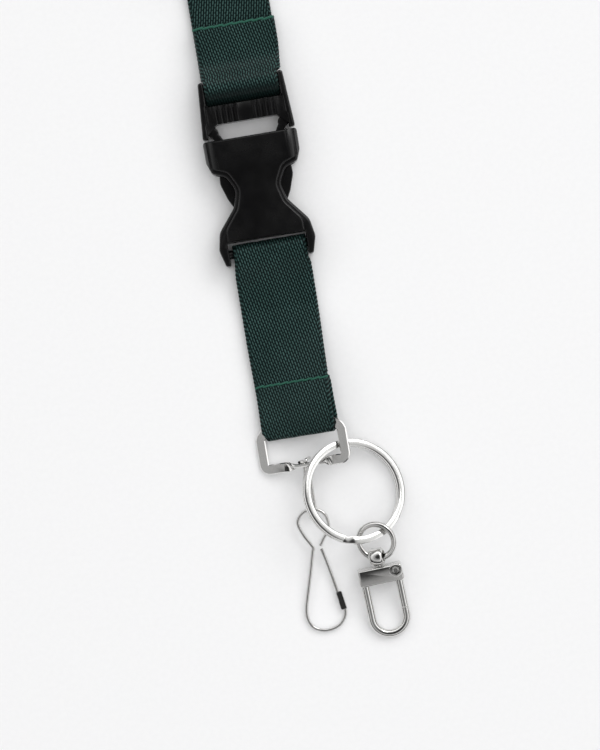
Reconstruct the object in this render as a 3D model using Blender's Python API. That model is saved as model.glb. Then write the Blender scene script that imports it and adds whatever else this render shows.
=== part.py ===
"""A neck lanyard: webbing, side-release buckle, bracket, wire hook, split ring and swivel clasp.

It lies on its back on a table at z = 0. +Y points along the strap towards the neck, +X to the right, +Z up.
The neck loop is folded into a hank in line with the strap and held by a tie.
Lengths below are in millimetres; MM turns them into Blender's metres.
"""

import math

import bpy
from mathutils import Matrix, Vector, geometry

MM = 0.001

# Webbing
STRAP_WIDTH = 19.6  # neck webbing, 20 mm class
NECK_EYE_WIDTH = 16.8  # between the male frame's rails
NECK_SHIFT = 0.45  # the neck strap's middle lies a little right of the buckle's
STRAP_THICK = 1.0
LOWER_WIDTH = 18.2  # the short strap below the buckle
EYE_WIDTH = 15.2  # the short strap where it passes through the bracket's window
SLACK = 0.15  # gap between a strap and the bar it goes round
NECK_STITCH_Y = 52.0
LOWER_STITCH_Y = -35.2
HANK_START = 68.0
HANK_LENGTH = 114.0
HANK_LAYERS = 8
HANK_LIFT = 1.05
TIE_WALL = 0.75
TIE_WIDTH = 8.0

# Buckle
BODY_HEIGHT = 7.0  # female body
RIM_HEIGHT = 6.35  # its rim beside the front panel
RAIL_LOW, RAIL_HIGH = 0.7, 6.3  # male frame
MALE_BAR_Y = 37.4
MALE_BAR_RADIUS = 1.2
MALE_MID_Z = 3.5
RIB_PITCH = 1.32
RIBS_EACH_SIDE = 5
PRONG_LOW, PRONG_HIGH = 2.0, 5.0
PRONG_PIVOT = (8.45, 26.75)
WEB_BAR_Y = -2.7  # the female body's bar
WEB_BAR_RADIUS = 1.1
WEB_BAR_Z = 3.0

# Bracket of stamped steel
SHEET = 0.9
BRACKET_CENTRE = (0.35, -50.6, 3.95)
BRACKET_ROLL = math.radians(17)
BAND = 2.35  # width of its side bands
BRACKET_HALF = 10.27  # half its width, to the middle of a band
BRACKET_TOP = 4.5  # its top bar's middle, from its centre
BRACKET_BOTTOM = -4.6
STANDING_BAR = 2.5  # height of the bottom bar where it stands on edge

# Swivel link and wire hook
LINK_WIRE = 0.8
LINK_SPACING = 2.4
LINK_ROLL = math.radians(55)
LINK_HOLE = 2.05
LINK_START = (0.15, -55.3, 3.89)
LINK_LENGTH = 12.3
LINK_SLOPE = math.radians(10.7)
HOOK_WIRE = 0.8
HOOK_PIVOT = (-0.3, -66.2, 1.87)
HOOK_SLOPE = math.radians(2.3)

# Split ring, jump ring and clasp
RING_CENTRE = (10.54, -63.5, 5.8)
RING_OUTER = 12.75
RING_BAND = 1.75
COIL = 1.0  # thickness of one coil
COIL_GAP = 0.1
RING_TILT = math.radians(21.3)
RING_UP = Vector((-0.927, -0.375, 0)).normalized()  # the side of the ring that is lifted
JOGGLE_START = math.radians(246.5)
JOGGLE_SPAN = math.radians(12.4)
JUMP_CENTRE = (13.9, -76.15, 5.85)
JUMP_RADIUS = 4.325
JUMP_WIRE = 1.45
JUMP_RISE = Vector((0.321, 0.268, 0))  # slope of its plane along X and Y
CLASP_PIVOT = (13.5, -80.33, 4.6)
CLASP_TURN = math.radians(2.5)
CLASP_SLOPE = math.radians(11)
EYE_OFFSET = 0.45
EYE_ROLL = math.radians(17)  # the eye lies along the jump ring's wire
EYE_RADIUS = 2.15
EYE_HOLE = 1.4
HEAD_TOP, HEAD_BOTTOM = -1.9, -6.1
HEAD_HALF, HEAD_THICK = 5.45, 3.3
BAIL_WIRE = 1.9
BAIL_HALF = 4.15
BAIL_ARC_Y = -14.7
GATE_END_Y = -12.9
GATE_PIN = (3.7, -3.35)
GATE_PIN_RADIUS = 0.55
SPRING_SEAT = 1.4  # the slot's wall behind the gate's spring
RIVET_RADIUS = 0.7

# Colours and surfaces: colour, roughness, metallic
LOOKS = {
    "green_webbing": ((0.012, 0.045, 0.038), 0.85, 0.0),
    "green_thread": ((0.02, 0.16, 0.09), 0.6, 0.0),
    "black_plastic": ((0.012, 0.012, 0.013), 0.42, 0.0),
    "nickel_steel": ((0.72, 0.71, 0.69), 0.14, 1.0),
    "black_band": ((0.02, 0.02, 0.02), 0.7, 0.0),
}


def clear_scene():
    for thing in list(bpy.data.objects):
        bpy.data.objects.remove(thing, do_unlink=True)


def look(name):
    """The material of that name, made once."""
    if name in bpy.data.materials:
        return bpy.data.materials[name]
    colour, roughness, metallic = LOOKS[name]
    made = bpy.data.materials.new(name)
    made.use_nodes = True
    shader = made.node_tree.nodes["Principled BSDF"]
    shader.inputs["Base Color"].default_value = (*colour, 1)
    shader.inputs["Roughness"].default_value = roughness
    shader.inputs["Metallic"].default_value = metallic
    return made


def empty(name, place, matrix=None, parent=None):
    """A joint or assembly frame: place is in millimetres, matrix turns it."""
    frame = bpy.data.objects.new(name, None)
    bpy.context.scene.collection.objects.link(frame)
    frame.matrix_world = Matrix.Translation(Vector(place) * MM) @ (matrix or Matrix.Identity(4))
    if parent:
        frame.parent = parent
    return frame


def solid(name, shape, frame, look_name, smooth=True):
    """An object from (points, faces) in millimetres in the axes of its frame."""
    points, faces = shape
    mesh = bpy.data.meshes.new(name)
    mesh.from_pydata([Vector(p) * MM for p in points], [], faces)
    mesh.validate()
    mesh.polygons.foreach_set("use_smooth", [smooth] * len(mesh.polygons))
    thing = bpy.data.objects.new(name, mesh)
    bpy.context.scene.collection.objects.link(thing)
    thing.parent = frame
    thing.data.materials.append(look(look_name))
    return thing


def cutter(name, shape, frame, look_name="black_plastic"):
    """A hidden helper for a Boolean."""
    thing = solid(name, shape, frame, look_name)
    thing.hide_render = True
    thing.display_type = "WIRE"
    return thing


def boolean(thing, operation, helper):
    modifier = thing.modifiers.new(helper.name, "BOOLEAN")
    modifier.operation = operation
    modifier.object = helper
    modifier.solver = "EXACT"


def circle(radius, sides, centre=(0, 0), start=0.0, end=math.tau):
    """Points of a circle, or of an arc that includes both its ends."""
    whole = abs(end - start - math.tau) < 1e-9
    count = sides if whole else sides + 1
    return [
        (
            centre[0] + radius * math.cos(start + (end - start) * i / sides),
            centre[1] + radius * math.sin(start + (end - start) * i / sides),
        )
        for i in range(count)
    ]


def rounded(corners, steps=4):
    """A closed outline from (x, y, radius) corners, each corner an arc."""
    points = []
    for index, (x, y, radius) in enumerate(corners):
        here = Vector((x, y))
        before = (Vector(corners[index - 1][:2]) - here).normalized()
        after = (Vector(corners[(index + 1) % len(corners)][:2]) - here).normalized()
        if radius == 0:
            points.append((x, y))
            continue
        half = before.angle(after) / 2
        reach = radius / math.tan(half)
        centre = here + (before + after).normalized() * (radius / math.sin(half))
        first = here + before * reach - centre
        last = here + after * reach - centre
        turn = first.angle_signed(last)
        for step in range(steps + 1):
            angle = -turn * step / steps
            spoke = Vector((
                first.x * math.cos(angle) - first.y * math.sin(angle),
                first.x * math.sin(angle) + first.y * math.cos(angle),
            ))
            points.append(tuple(centre + spoke))
    return points


def mirrored(half):
    """A closed symmetric outline from its right half's (x, y, radius) corners, listed top to bottom."""
    return half + [(-x, y, radius) for x, y, radius in reversed(half)]


def signed_area(outline):
    return sum(a[0] * b[1] - b[0] * a[1] for a, b in zip(outline, outline[1:] + outline[:1])) / 2


def inset(outline, distance, share=None):
    """The outline moved inwards by the distance, point by point along the corner's middle line."""
    turn = 1 if signed_area(outline) > 0 else -1
    moved = []
    for index, point in enumerate(outline):
        here = Vector(point)
        into = (here - Vector(outline[index - 1])).normalized()
        out = (Vector(outline[(index + 1) % len(outline)]) - here).normalized()
        side = Vector((-into.y - out.y, into.x + out.x)) * turn
        reach = distance * share(*point) if share else distance
        moved.append(tuple(here + side.normalized() * reach / max(0.35, side.length / 2)))
    return moved


def layered(levels):
    """A closed solid through rings of equal length, capped by its first and last ring."""
    count = len(levels[0])
    points = [point for ring in levels for point in ring]
    faces = []
    for level in range(len(levels) - 1):
        low, high = level * count, (level + 1) * count
        faces += [
            (low + i, low + (i + 1) % count, high + (i + 1) % count, high + i) for i in range(count)
        ]
    faces.append(tuple(reversed(range(count))))
    faces.append(tuple((len(levels) - 1) * count + i for i in range(count)))
    return points, faces


def counter_clockwise(outline):
    return outline if signed_area(outline) > 0 else outline[::-1]


def slab(outline, low, high, round_low=0.0, round_high=0.0, steps=3, share=None):
    """The outline raised from low to high, with its lower and upper edges rounded off.

    share(x, y) is the part of the rounding that applies at a point, where the outline is narrow.
    """
    outline = counter_clockwise(outline)
    levels = []
    for step in range(steps + 1 if round_low else 1):
        angle = math.pi / 2 * step / steps
        ring = inset(outline, round_low * (1 - math.sin(angle)), share) if round_low else outline
        levels.append([(x, y, low + round_low * (1 - math.cos(angle))) for x, y in ring])
    for step in range(steps + 1 if round_high else 1):
        angle = math.pi / 2 * step / steps
        ring = inset(outline, round_high * (1 - math.cos(angle)), share) if round_high else outline
        levels.append([(x, y, high - round_high * (1 - math.sin(angle))) for x, y in ring])
    return layered(levels)


def plate_with_hole(outer, hole, across, low, high):
    """A plate with one hole through it. across(u, v, w) places outline point (u, v) at depth w."""
    outer = counter_clockwise(outer)
    hole = counter_clockwise(hole)[::-1]
    flat = [Vector((u, v, 0)) for u, v in outer + hole]
    triangles = geometry.tessellate_polygon([flat[: len(outer)], flat[len(outer) :]])
    count = len(flat)
    points = [across(p.x, p.y, low) for p in flat] + [across(p.x, p.y, high) for p in flat]
    faces = []
    for a, b, c in triangles:
        if (flat[b] - flat[a]).cross(flat[c] - flat[a]).z < 0:
            b, c = c, b
        faces += [(a, c, b), (a + count, b + count, c + count)]
    for start, length in ((0, len(outer)), (len(outer), len(hole))):
        for i in range(length):
            a, b = start + i, start + (i + 1) % length
            faces.append((a, b, b + count, a + count))
    return points, faces


def sweep(path, section, up=(0, 0, 1), closed=False):
    """The section carried along the path: a list of (side, up) offsets, or one such list for each point."""
    path = [Vector(p) for p in path]
    count = len(path)
    rings = []
    for index, here in enumerate(path):
        before = path[index - 1] if closed or index else here
        after = path[(index + 1) % count] if closed or index < count - 1 else here
        along = (after - before).normalized()
        upward = Vector(up[index] if isinstance(up, list) else up)
        upward = (upward - along * upward.dot(along)).normalized()
        side = along.cross(upward)
        offsets = section[index] if isinstance(section[0], list) else section
        rings.append([here + side * a + upward * b for a, b in offsets])
    size = len(rings[0])
    points = [point for ring in rings for point in ring]
    faces = []
    for ring in range(count if closed else count - 1):
        a, b = ring * size, ((ring + 1) % count) * size
        faces += [(a + i, a + (i + 1) % size, b + (i + 1) % size, b + i) for i in range(size)]
    if not closed:
        faces.append(tuple(reversed(range(size))))
        faces.append(tuple((count - 1) * size + i for i in range(size)))
    return outward(points, faces)


def outward(points, faces):
    """The same shape with its faces turned to the outside."""
    volume = 0.0
    for face in faces:
        first = Vector(points[face[0]])
        for b, c in zip(face[1:], face[2:]):
            volume += first.dot(Vector(points[b]).cross(Vector(points[c])))
    return points, faces if volume > 0 else [face[::-1] for face in faces]


def mirror_image(shape):
    """The shape with left and right changed over."""
    points, faces = shape
    return outward([(-x, y, z) for x, y, z in points], faces)


def wire(path, diameter, sides=10, up=(0, 0, 1), closed=False):
    return sweep(path, circle(diameter / 2, sides), up, closed)


def lathe(profile, axis, sides=24):
    """The (distance along the axis, radius) profile turned about X, Y or Z, with flat ends."""
    rings = []
    for along, radius in profile:
        ring = []
        for a, b in circle(radius, sides):
            ring.append({"X": (along, a, b), "Y": (b, along, a), "Z": (a, b, along)}[axis])
        rings.append(ring)
    return outward(*layered(rings))


def curve_through(corners, steps=6):
    """A smooth open path through 3-D points, as a Catmull-Rom curve."""
    spots = [Vector(c) for c in corners]
    spots = [spots[0] * 2 - spots[1]] + spots + [spots[-1] * 2 - spots[-2]]
    path = []
    for a, b, c, d in zip(spots, spots[1:], spots[2:], spots[3:]):
        for step in range(steps):
            t = step / steps
            path.append(0.5 * (
                2 * b + (c - a) * t + (2 * a - 5 * b + 4 * c - d) * t**2 + (3 * b - a - 3 * c + d) * t**3
            ))
    path.append(spots[-2])
    return path


def neck_point(share, y, z):
    """A point of the neck strap, which is squeezed between the rails where it goes round the bar."""
    squeezed = 1 - ease((y - 45.0) / 3)
    width = STRAP_WIDTH + (NECK_EYE_WIDTH - STRAP_WIDTH) * squeezed
    return (share * width / 2 - NECK_SHIFT * squeezed, y, z)


def build_neck_strap(root):
    """The two ends of the neck loop, folded round the male frame's bar, sewn, and the rest as a hank."""
    wrap = MALE_BAR_RADIUS + SLACK
    outer = wrap + 2 * STRAP_THICK
    mid = MALE_MID_Z
    hank_low = HANK_LIFT
    hank_high = hank_low + HANK_LAYERS * STRAP_THICK
    hank_end = HANK_START + HANK_LENGTH
    radius = (hank_high - hank_low) / 2
    clear = 43.0  # past the rails
    outline = circle(outer, 18, (MALE_BAR_Y, mid), math.radians(60), math.radians(300))
    outline += [(clear, 0.15), (NECK_STITCH_Y - 4, 0.1), (NECK_STITCH_Y + 1.4, 0.05)]
    outline.append((NECK_STITCH_Y + 1.5, 1.9))
    outline += [(NECK_STITCH_Y + 5, 0.7), (NECK_STITCH_Y + 9, 0.1), (HANK_START - 3, 0.15)]
    outline += [(HANK_START + 3, hank_low)]
    outline += circle(radius, 12, (hank_end - radius, hank_low + radius), -math.pi / 2, math.pi / 2)
    outline += circle(radius, 10, (HANK_START + radius, hank_low + radius), math.pi / 2, math.radians(215))
    outline += [(HANK_START - 3, 2.2), (NECK_STITCH_Y + 9, 2.15), (NECK_STITCH_Y + 4, 2.9)]
    outline += [(NECK_STITCH_Y, 4.0), (NECK_STITCH_Y - 4, 4.4), (clear, 5.1)]
    eye = circle(wrap, 20, (MALE_BAR_Y, mid), math.radians(60), math.radians(300))
    eye += [(clear, 2.3), (NECK_STITCH_Y - 5, 2.25), (NECK_STITCH_Y - 5, 2.45), (clear, 3.2)]
    shift = empty("neck_strap_frame", (NECK_SHIFT, 0, 0), parent=root)
    solid("neck_strap", sliced_plate(neck_point, outline, eye), shift, "green_webbing")
    build_tie(shift, hank_low, hank_high)
    build_stitch("neck_stitch", shift, NECK_STITCH_Y)


def build_tie(frame, hank_low, hank_high):
    """A flat band round the middle of the hank."""
    gap = 0.3
    wide = STRAP_WIDTH / 2 + gap
    low, high = hank_low - gap, hank_high + gap
    hole = rounded([(wide, high, 0.6), (wide, low, 0.6), (-wide, low, 0.6), (-wide, high, 0.6)])
    wide, low, high = wide + TIE_WALL, low - TIE_WALL, high + TIE_WALL
    outer = rounded([(wide, high, 1.3), (wide, low, 1.3), (-wide, low, 1.3), (-wide, high, 1.3)])
    middle = HANK_START + HANK_LENGTH / 2
    near, far = middle - TIE_WIDTH / 2, middle + TIE_WIDTH / 2
    shape = plate_with_hole(outer, hole, lambda x, z, y: (x, y, z), near, far)
    solid("strap_tie", outward(*shape), frame, "black_band")


def build_stitch(name, frame, y):
    """A seam across a strap: one thread just above it in a row of long low waves."""
    stitches = 8
    thread = 0.35
    path = []
    for step in range(stitches * 6 + 1):
        share = step / (stitches * 6)
        wave = math.sin(share * stitches * math.tau)
        lift = thread / 2 + 0.4 + 0.04 * wave
        if y > 0:
            x = (STRAP_WIDTH - 1.0) * (share - 0.5)
            path.append((x, y + 0.12 * wave, 4.0 + lift))
        else:
            path.append(roll_point(0.95 * (2 * share - 1), y + 0.12 * wave, 1.05 + lift))
    solid(name, wire(path, thread, 6), frame, "green_thread")


def build_male_frame(root):
    """Two rails and the webbing bar, with the ribbed bar across below the slot."""
    rail_top = MALE_BAR_Y + 1.6
    half = [
        (10.25, rail_top, 0.6), (11.2, 25.4, 0.35), (9.75, 25.3, 0.25), (9.75, 28.3, 0.3),
        (9.35, 28.9, 0.2), (9.35, 32.9, 0.2), (9.0, 33.4, 0.2), (9.0, rail_top, 0.45),
    ]
    rail = slab(rounded(half), RAIL_LOW, RAIL_HIGH, 0.35, 0.45)
    frame = solid("male_frame", rail, root, "black_plastic")
    boolean(frame, "UNION", cutter("left_rail", mirror_image(rail), root))
    bar = lathe([(-9.8, MALE_BAR_RADIUS), (9.8, MALE_BAR_RADIUS)], "X", 20)
    bar_frame = empty("male_bar_frame", (0, MALE_BAR_Y, MALE_MID_Z), parent=root)
    boolean(frame, "UNION", cutter("webbing_bar", bar, bar_frame))
    outline = ribbed_outline()
    shape = plate_with_rings(outline, 28.6, 33.0)
    boolean(frame, "UNION", cutter("ribbed_bar", shape, root))
    for side in (-1, 1):
        x, y = PRONG_PIVOT
        socket = slab(circle(1.55, 20, (side * x, y)), 1.5, 5.5)
        corners = [(9.9, 29.2), (6.9, 29.2), (6.9, 28.9), (9.9, 26.2)]
        block = slab([(side * a, b) for a, b in corners], 1.4, 5.6)
        boolean(frame, "UNION", cutter(f"prong_block_{side}", block, root))
        boolean(frame, "DIFFERENCE", cutter(f"prong_socket_{side}", socket, root))


def ribbed_outline():
    """The ribbed bar seen along Y: flat below, round ridges on top either side of a smooth middle."""
    low, high = 1.6, 5.35
    points = [(-9.6, low), (9.6, low), (9.6, high)]
    for side in (1, -1):
        ridges = range(RIBS_EACH_SIDE)
        for ridge in (reversed(ridges) if side == 1 else ridges):
            middle = side * (1.5 + RIB_PITCH * (ridge + 0.5))
            arc = circle(RIB_PITCH * 0.42, 5, (middle, high - 0.05), 0.0, math.pi)
            points += arc
    points.append((-9.6, high))
    return points


def plate_with_rings(outline, low, high):
    """An (x, z) outline drawn out along Y."""
    rings = [[(x, y, z) for x, z in outline] for y in (low, high)]
    return outward(*layered(rings))


def build_prong(root, side, name):
    """A springy arm with a round root, a locking shoulder and a thumb button."""
    x, y = PRONG_PIVOT
    pivot = empty(f"{name}_pivot", (side * x, y, 0), parent=root)
    outline = [
        (7.35, 26.6, 0.2), (5.9, 24.0, 1.5), (5.3, 16.0, 4.0), (4.3, 9.2, 1.0), (4.6, 7.4, 0.7),
        (6.0, 7.3, 0.7),
        (7.6, 10.4, 5.0), (8.85, 14.2, 3.0), (8.75, 16.1, 0.35), (7.45, 16.45, 0.15),
        (8.25, 24.5, 1.0), (9.2, 26.0, 0.2),
    ]
    outline = rounded([(px - x, py - y, r) for px, py, r in outline])
    shape = slab(outline, PRONG_LOW, PRONG_HIGH, 0.25, 0.25)
    arm = solid(name, shape if side == 1 else mirror_image(shape), pivot, "black_plastic")
    root_knuckle = slab(circle(1.25, 20), PRONG_LOW - 0.1, PRONG_HIGH + 0.1, 0.3, 0.3)
    boolean(arm, "UNION", cutter(f"{name}_knuckle", root_knuckle, pivot))


def female_outline():
    half = [
        (11.4, 24.8, 0.7), (11.35, 19.8, 1.2), (10.3, 17.0, 1.1), (7.2, 15.7, 2.2), (5.45, 12.3, 3.0),
        (6.5, 8.3, 4.0), (10.9, 2.8, 4.0), (11.7, -1.5, 3.0), (10.6, -5.5, 0.65), (9.45, -5.5, 0.4),
        (9.5, 0.0, 0.3),
    ]
    return rounded(mirrored(half), 5)


def horn_share(x, y):
    """The horns are narrow, so their edges are rounded less than the rest of the body."""
    return 0.38 + 0.62 * ease((y + 0.5) / 4)


def panel_corners():
    """The right half of the raised front panel, which leaves a lower rim beside the waist and the horns."""
    return [
        (11.25, 24.7, 0.5), (11.2, 20.0, 0.9), (10.0, 18.0, 1.2), (6.6, 16.7, 2.6), (4.45, 12.3, 3.2),
        (5.6, 7.9, 4.0), (9.3, 3.2, 3.0), (9.4, 0.02, 0.2),
    ]


def band_cut(side):
    """What is taken off one long upper edge of the mouth, so that its side is broadly rounded."""
    start, low, wide, tall = 8.1, 4.3, 3.4, BODY_HEIGHT - 4.3
    outline = [(start, BODY_HEIGHT + 1), (start + 5, BODY_HEIGHT + 1), (start + 5, low)]
    steps = 9
    for step in range(steps + 1):
        angle = math.pi / 2 * step / steps
        outline.append((start + wide * math.cos(angle), low + tall * math.sin(angle)))
    rings = [[(side * x, y, z) for x, z in outline] for y in (12.0, 27.0)]
    return outward(*layered(rings))


def build_female_body(slide):
    """A shell: open mouth above, windows where the prongs show, and a webbing bar between its horns."""
    shape = slab(female_outline(), 0.0, RIM_HEIGHT, 0.7, 0.6, 4, horn_share)
    body = solid("female_body", shape, slide, "black_plastic")
    panel = slab(rounded(mirrored(panel_corners()), 5), RIM_HEIGHT - 0.6, BODY_HEIGHT, 0.0, 0.45, 4)
    boolean(body, "UNION", cutter("front_panel", panel, slide))
    for side in (-1, 1):
        boolean(body, "DIFFERENCE", cutter(f"band_{side}", band_cut(side), slide))
    pocket = [
        (9.4, 26.0, 0), (9.3, 19.4, 0.6), (7.85, 17.6, 0.4), (7.85, 16.75, 0.2), (12.5, 16.75, 0),
        (12.5, 6.9, 0),
    ]
    hollow = slab(rounded(mirrored(pocket), 3), 1.5, 5.5)
    boolean(body, "DIFFERENCE", cutter("pocket", hollow, slide))
    bar_frame = empty("female_bar_frame", (0, WEB_BAR_Y, WEB_BAR_Z), parent=slide)
    bar = lathe([(-10.0, WEB_BAR_RADIUS), (10.0, WEB_BAR_RADIUS)], "X", 20)
    boolean(body, "UNION", cutter("female_bar", bar, bar_frame))


def lower_height(y):
    """Height of the short strap's middle plane: down from the buckle to the table and up to the bracket."""
    spots = [
        (WEB_BAR_Y, WEB_BAR_Z), (-6.0, 2.85), (-11.0, 1.9), (-17.0, 1.2), (-24.0, 2.0), (-30.0, 2.87),
        (-36.0, 3.58), (-41.0, 3.95), (-44.0, BRACKET_CENTRE[2]),
    ]
    if y >= spots[0][0]:
        return spots[0][1]
    for (y0, z0), (y1, z1) in zip(spots, spots[1:]):
        if y >= y1:
            return z0 + (z1 - z0) * (y0 - y) / (y0 - y1)
    return spots[-1][1]


def build_lower_webbing(slide):
    """Two layers of strap with an eye round each bar, drawn as (y, distance from the middle plane)."""
    frame = empty("lower_webbing_frame", (BRACKET_CENTRE[0], 0, 0), parent=slide)
    wrap_top = WEB_BAR_RADIUS + SLACK
    wrap_low = SHEET / 2 + SLACK
    around = wrap_low + STRAP_THICK
    bar_y = BRACKET_CENTRE[1] + BRACKET_TOP
    bar_half = BAND / 2 + SLACK
    fold = bar_y - bar_half - STRAP_THICK
    right = [(-41.0, 1.3), (-36.0, 1.08), (-30.0, 1.02), (-24.0, 1.0), (-17.0, 1.02), (-11.0, 1.1)]
    right.append((-8.0, 1.5))
    upper = circle(wrap_top + STRAP_THICK, 16, (WEB_BAR_Y, 0), math.radians(125), math.radians(-125))
    end = [(fold, -0.45), (fold, 0.45), (fold + 1.2, around), (bar_y + bar_half, around)]
    lower = [(y, -half) for y, half in reversed(right)]
    outline = end + right + upper + lower + [(bar_y + bar_half, -around), (fold + 1.2, -around)]
    bar_eye = [
        (bar_y + bar_half, -wrap_low), (bar_y - bar_half, -wrap_low),
        (bar_y - bar_half, wrap_low), (bar_y + bar_half, wrap_low), (-42.8, 0),
    ]
    top_eye = circle(wrap_top, 16, (WEB_BAR_Y, 0), math.radians(-125), math.radians(125)) + [(-6.8, 0.0)]
    solid("lower_webbing", sliced_plate(roll_point, outline, top_eye, bar_eye), frame, "green_webbing")
    build_stitch("lower_stitch", frame, LOWER_STITCH_Y)


def sliced_plate(place, outline, *holes):
    """A (y, z) outline with holes, drawn out along X in slices. place(share, y, z) sets each point."""
    outline = counter_clockwise(outline)
    loops = [outline] + [counter_clockwise(hole)[::-1] for hole in holes]
    flat = [[Vector((u, v, 0)) for u, v in loop] for loop in loops]
    triangles = geometry.tessellate_polygon(flat)
    joined = [point for loop in flat for point in loop]
    slices = 7
    count = len(joined)
    points = []
    for slice_index in range(slices):
        share = -1 + 2 * slice_index / (slices - 1)
        points += [place(share, point.x, point.y) for point in joined]
    faces = []
    last = (slices - 1) * count
    for a, b, c in triangles:
        if (joined[b] - joined[a]).cross(joined[c] - joined[a]).z < 0:
            b, c = c, b
        faces += [(a, c, b), (a + last, b + last, c + last)]
    for slice_index in range(slices - 1):
        low, high = slice_index * count, (slice_index + 1) * count
        start = 0
        for loop in loops:
            size = len(loop)
            for i in range(size):
                a, b = start + i, start + (i + 1) % size
                faces.append((a + low, b + low, b + high, a + high))
            start += size
    return outward(points, faces)


def ease(value):
    value = min(1.0, max(0.0, value))
    return value * value * (3 - 2 * value)


def roll_point(share, y, offset):
    """A point of the short strap: share is -1 at its left edge and 1 at its right."""
    rolled = ease((-y - 14) / 27)
    angle = BRACKET_ROLL * rolled
    narrowed = ease((-y - 41) / 4.5)
    width = LOWER_WIDTH + (EYE_WIDTH - LOWER_WIDTH) * narrowed
    x = share * width / 2 - 0.35 * (1 - narrowed)
    height = lower_height(y)
    return (
        x * math.cos(angle) - offset * math.sin(angle),
        y,
        height + x * math.sin(angle) + offset * math.cos(angle),
    )


def bracket_path():
    """The middle line of the bracket's strip, as (x, y, height across, twist) round its window."""
    side, top, bottom = BRACKET_HALF, BRACKET_TOP, BRACKET_BOTTOM
    corner = 1.35
    spots = []
    for angle in range(0, 91, 15):
        a = math.radians(angle)
        spots.append((side - corner + corner * math.cos(a), bottom + corner - corner * math.sin(a), BAND, 0))
    for share in [i / 28 for i in range(29)]:
        x = (side - corner - 0.5) * (1 - 2 * share)
        flat = max(ease((x - 3.9) / 3.0), ease((-x - 2.2) / 3.0))
        spots.append((x, bottom - 0.1 * (1 - flat), STANDING_BAR - 0.1 * flat, math.pi / 2 * (1 - flat)))
    for angle in range(90, -1, -15):
        a = math.radians(angle)
        spots.append((-side + corner - corner * math.cos(a), bottom + corner - corner * math.sin(a), BAND, 0))
    spots += [(-side, bottom + 4, BAND, 0), (-side, top - 1.95, BAND, 0), (-side + 0.25, top - 1.35, BAND, 0)]
    spots += [(-side + 1.25, top - 0.3, BAND, 0), (-side + 1.9, top, BAND, 0)]
    spots += [(0, top, BAND, 0), (side - 1.9, top, BAND, 0), (side - 1.25, top - 0.3, BAND, 0)]
    spots += [(side - 0.25, top - 1.35, BAND, 0), (side, top - 1.95, BAND, 0), (side, bottom + 4, BAND, 0)]
    return spots


def strip_section(width, thick, twist):
    """A flat strip's section with eased edges, turned about the path."""
    edge = 0.22
    w, t = width / 2, thick / 2
    corners = [
        (w - edge, t), (-w + edge, t), (-w, t - edge), (-w, -t + edge),
        (-w + edge, -t), (w - edge, -t), (w, -t + edge), (w, t - edge),
    ]
    return [
        (a * math.cos(twist) - b * math.sin(twist), a * math.sin(twist) + b * math.cos(twist))
        for a, b in corners
    ]


def build_bracket(frame):
    spots = bracket_path()
    path = [(x, y, 0) for x, y, width, twist in spots]
    sections = [strip_section(width, SHEET, twist) for x, y, width, twist in spots]
    bracket = solid("bracket", sweep(path, sections, closed=True), frame, "nickel_steel")
    hole = lathe([(-2.0, LINK_HOLE / 2), (2.0, LINK_HOLE / 2)], "Y", 20)
    hole_frame = empty("link_hole_frame", LINK_START, Matrix.Rotation(LINK_SLOPE, 4, "X"))
    hole_frame.parent = frame.parent
    boolean(bracket, "DIFFERENCE", cutter("link_hole", hole, hole_frame))


def build_link(frame):
    """A wire loop whose two bent ends hold it in the bracket's hole."""
    half = LINK_SPACING / 2
    head = 2.3
    neck = LINK_WIRE / 2 + 0.03
    end = -LINK_LENGTH + half
    right = [
        (head, 1.12, 0), (neck + 0.75, 1.12, 0), (neck + 0.2, 0.95, 0), (neck, 0.45, 0), (neck, -0.7, 0),
        (neck + 0.15, -1.6, 0), (half - 0.1, -3.6, 0), (half, -4.6, 0), (half, -8.0, 0),
    ]
    arc = [(half * math.cos(a), end - half * math.sin(a), 0) for a in
           [math.pi * i / 10 for i in range(11)]]
    left = [(-x, y, z) for x, y, z in reversed(right)]
    path = curve_through(right, 2)[:-1] + [Vector(right[-1])] + [Vector(p) for p in arc]
    path += curve_through(left, 2)
    solid("swivel_link", wire(path, LINK_WIRE, 8), frame, "nickel_steel")


def hook_points():
    """The hook's bent wire from the bottom of its neck round the bulb, down and round to the catch."""
    bulb = [(0.85, -9.0), (1.55, -7.9), (2.9, -6.0), (3.65, -4.2), (3.25, -1.9), (1.9, -0.5), (0.0, 0.0)]
    bulb += [(-1.8, -0.35), (-3.15, -1.5), (-3.65, -3.1), (-2.7, -5.9), (-1.35, -8.4)]
    leg = [(-0.95, -9.3), (-1.3, -10.4), (-2.5, -14.8), (-3.9, -19.6), (-4.85, -23.0), (-5.05, -25.6)]
    bow = [(-4.2, -27.9), (-2.2, -29.15), (0.2, -29.3), (2.6, -28.4), (4.05, -26.4), (4.25, -24.6)]
    return bulb + leg + bow


def build_hook(frame):
    """The hook's wire with its channel-shaped catch, in a frame at the top of its bulb."""
    path = curve_through([(x, y, 0) for x, y in hook_points()], 4)
    hook = solid("hook_wire", wire(path, HOOK_WIRE, 8), frame, "nickel_steel")
    depth, wall, length = 0.74, 0.24, 4.3
    channel = [
        (depth, 0.78), (-0.5, 0.78), (-0.5, 0.78 - wall), (depth - wall, 0.78 - wall),
        (depth - wall, wall - 0.78), (-0.62, wall - 0.78), (-0.62, -0.78), (depth, -0.78),
    ]
    rings = [[(x, y, z) for x, z in channel] for y in (0, length)]
    lean = empty("catch_frame", (3.92, -24.95, 0), Matrix.Rotation(math.radians(9), 4, "Z"))
    lean.parent = frame
    catch = cutter("catch", outward(*layered(rings)), lean)
    boolean(hook, "UNION", catch)


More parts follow.
